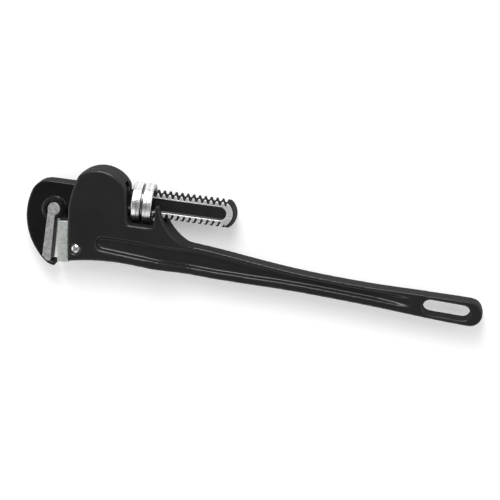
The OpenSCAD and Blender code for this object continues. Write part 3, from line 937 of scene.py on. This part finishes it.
@dataclass
class JawFaces:
    """The two toothed steel faces and the heel jaw's pin."""

    voxel_mm: float = 0.3
    passes: int = 4
    pin_spokes: int = 64
    pin_dome_mm: float = 1.3

    def build(self, nodes: dict[str, bpy.types.Object]) -> None:
        """Grinds the faces and sets the pin.

        Args:
            nodes: The CAD nodes by name.
        """
        insert = softened(
            welded(nodes["hook_jaw_insert"]), "toothed_hook_insert", self.voxel_mm, self.passes)
        dress(insert, INSERT_STEEL, Body.HOOK, "hook_jaw_insert")
        heel = softened(welded(nodes["heel_jaw"]), "toothed_heel_jaw", self.voxel_mm, self.passes)
        dress(heel, HEEL_STEEL, Body.FRAME, "heel_jaw")
        dress(self.pin(), PIN_STEEL, Body.FRAME, "heel_jaw_pin")

    def pin(self) -> bpy.types.Object:
        """Turns the pin, with ends that the hammer has domed."""
        low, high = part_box("heel_jaw_pin")
        centre, half, r = (low + high) / 2, (high.z - low.z) / 2 / MM, (high.x - low.x) / 2 / MM
        dome_r = (r**2 + self.pin_dome_mm**2) / (2 * self.pin_dome_mm)
        reach = math.asin(r / dome_r)
        steps = 10
        turns = [reach * (i + 0.02) / (steps + 0.02) for i in range(steps + 1)]
        end = [(dome_r * math.sin(t), half - dome_r * (1 - math.cos(t))) for t in turns]
        profile = end + [(radius, -z) for radius, z in reversed(end)]
        rows = []
        for radius, z in profile:
            ring = [math.tau * k / self.pin_spokes for k in range(self.pin_spokes)]
            rows.append(
                [centre + Vector((radius * math.cos(a), radius * math.sin(a), z)) * MM for a in ring])
        piece = as_object(loft(rows, closed_rows=False, capped=True), "heel_pin")
        shade(piece, 40)
        return piece


@dataclass
class SpringPack:
    """The flat spring, its rivet and the coil under the hood's crown."""

    wire_mm: float = 1.2
    turns: int = 3
    steps: int = 36
    sides: int = 14
    edge_mm: float = 0.15
    crease_deg: float = 50

    def build(self, nodes: dict[str, bpy.types.Object]) -> None:
        """Dresses the springs.

        Args:
            nodes: The CAD nodes by name.
        """
        leaf = machined(nodes["flat_spring"], "leaf_spring", self.edge_mm)
        dress(leaf, SPRING, Body.LEAF, "flat_spring")
        rivet = machined(nodes["spring_rivet"], "leaf_rivet", self.edge_mm)
        dress(rivet, PIN_STEEL, Body.LEAF, "spring_rivet")
        dress(self.coil(), SPRING, Body.FRAME, "coil_spring")

    def coil(self) -> bpy.types.Object:
        """Winds the coil as round wire, with its end turns lying flatter."""
        low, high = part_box("coil_spring")
        centre = (low + high) / 2
        wire = self.wire_mm / 2
        r = (high.x - low.x) / 2 / MM - wire
        rise = (high.y - low.y) / MM - self.wire_mm
        rows = []
        count = self.turns * self.steps
        for i in range(count + 1):
            share = i / count
            angle = math.tau * self.turns * share
            lift = rise * (smoothstep(0, 1, share) * 0.5 + share * 0.5 - 0.5)
            row = []
            for k in range(self.sides):
                turn = math.tau * k / self.sides
                out = r + wire * math.cos(turn)
                spot = (out * math.cos(angle), lift + wire * math.sin(turn), out * math.sin(angle))
                row.append(centre + Vector(spot) * MM)
            rows.append(row)
        piece = as_object(loft(rows, closed_rows=False, capped=True), "coil_under_hood")
        shade(piece, self.crease_deg)
        return piece


# ---------------------------------------------------------------- the studio


@dataclass
class Softbox:
    """One large, soft lamp aimed at the wrench."""

    name: str
    place: tuple[float, float, float]
    size: float
    watts: float

    def build(self, aim: Vector) -> None:
        """Hangs the lamp.

        Args:
            aim: The point that it faces.
        """
        data = bpy.data.lights.new(self.name, "AREA")
        data.shape, data.size, data.energy = "SQUARE", self.size, self.watts
        lamp = bpy.data.objects.new(self.name, data)
        lamp.location = self.place
        lamp.rotation_mode = "QUATERNION"
        lamp.rotation_quaternion = (Vector(self.place) - aim).to_track_quat("Z", "Y")
        bpy.context.scene.collection.objects.link(lamp)


SOFTBOXES = (
    Softbox("key_softbox", (-0.1, 1.35, 1.2), 0.8, 20.0),
    Softbox("top_softbox", (0.1, 0.95, 1.7), 0.6, 8.0),
    Softbox("left_softbox", (-1.4, -0.3, 1.0), 1.2, 5.0),
    Softbox("low_softbox", (0.3, -1.5, 0.8), 1.2, 4.0),
    Softbox("end_softbox", (1.7, 0.3, 1.1), 1.2, 5.0),
)


@dataclass
class Studio:
    """The pale floor, the lamps, the room's light and the camera."""

    floor_half: float = 6.0
    floor_gap_mm: float = 0.02
    paper: str = "#e6e6e6"
    paper_roughness: float = 0.9
    paper_gloss: float = 0.1
    zenith: float = 0.22
    horizon: float = 0.6
    paper_glow: float = 0.3
    eye: tuple[float, float, float] = (0.3101, 0.3637, 1.9116)
    aim: tuple[float, float, float] = (0.1538, -0.0332, 0.02)
    roll_deg: float = -6.67
    lens_mm: float = 142.9
    sight: float = 50

    def build(self) -> None:
        """Sets up the floor, the light and the camera."""
        scene = bpy.context.scene
        scene.view_settings.view_transform = "Standard"
        self.floor()
        self.room(scene)
        aim = Vector(self.aim)
        for box in SOFTBOXES:
            box.build(aim)
        self.camera(scene)

    def floor(self) -> None:
        """Lays the pale floor."""
        mesh = bmesh.new()
        bmesh.ops.create_grid(mesh, x_segments=1, y_segments=1, size=self.floor_half,
                              matrix=Matrix.Translation((0, 0, -self.floor_gap_mm * MM)))
        floor = as_object(mesh, "pale_floor")
        material = bpy.data.materials.new("matt_white_paper")
        material.use_nodes = True
        shader = material.node_tree.nodes["Principled BSDF"]
        shader.inputs["Base Color"].default_value = linear(self.paper)
        shader.inputs["Emission Color"].default_value = grey(1)
        shader.inputs["Emission Strength"].default_value = self.paper_glow
        shader.inputs["Roughness"].default_value = self.paper_roughness
        shader.inputs["Specular IOR Level"].default_value = self.paper_gloss
        floor.data.materials.append(material)

    def room(self, scene: bpy.types.Scene) -> None:
        """Lights the room evenly: brighter towards its walls than overhead.

        Args:
            scene: The scene.
        """
        world = bpy.data.worlds.new("soft_room")
        scene.world = world
        world.use_nodes = True
        tree = world.node_tree
        tree.nodes.clear()
        way = add_node(tree, "ShaderNodeTexCoord").outputs["Generated"]
        up = add_node(tree, "ShaderNodeSeparateXYZ", Vector=way).outputs["Z"]
        light = ramp(
            tree, up, [(0.0, grey(self.horizon)), (0.55, grey(self.horizon)), (0.95, grey(self.zenith))])
        sky = add_node(tree, "ShaderNodeBackground", Color=light, Strength=1.0)
        add_node(tree, "ShaderNodeOutputWorld", Surface=sky.outputs["Background"])

    def camera(self, scene: bpy.types.Scene) -> None:
        """Sets the camera above the wrench, a little towards its crown and its handle.

        Args:
            scene: The scene.
        """
        data = bpy.data.cameras.new("camera")
        data.lens = self.lens_mm
        data.clip_end = self.sight
        camera = bpy.data.objects.new("camera", data)
        back = (Vector(self.eye) - Vector(self.aim)).normalized()
        roll = math.radians(self.roll_deg)
        right = Vector((math.sin(roll), math.cos(roll), 0)).cross(back).normalized()
        axes = Matrix((right, back.cross(right), back)).transposed()
        camera.matrix_world = Matrix.Translation(self.eye) @ axes.to_4x4()
        scene.collection.objects.link(camera)
        scene.camera = camera


def main() -> None:
    """Builds the wrench piece by piece, then its studio."""
    logging.basicConfig(level=logging.INFO, format="%(name)s: %(message)s")
    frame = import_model()
    nodes = frame["nodes"]
    Housing().build(nodes["handle_housing"])
    HookJaw().build(nodes["hook_jaw"])
    AdjustingNut().build()
    JawFaces().build(nodes)
    SpringPack().build(nodes)
    Studio().build()


if __name__ == "__main__":
    main()
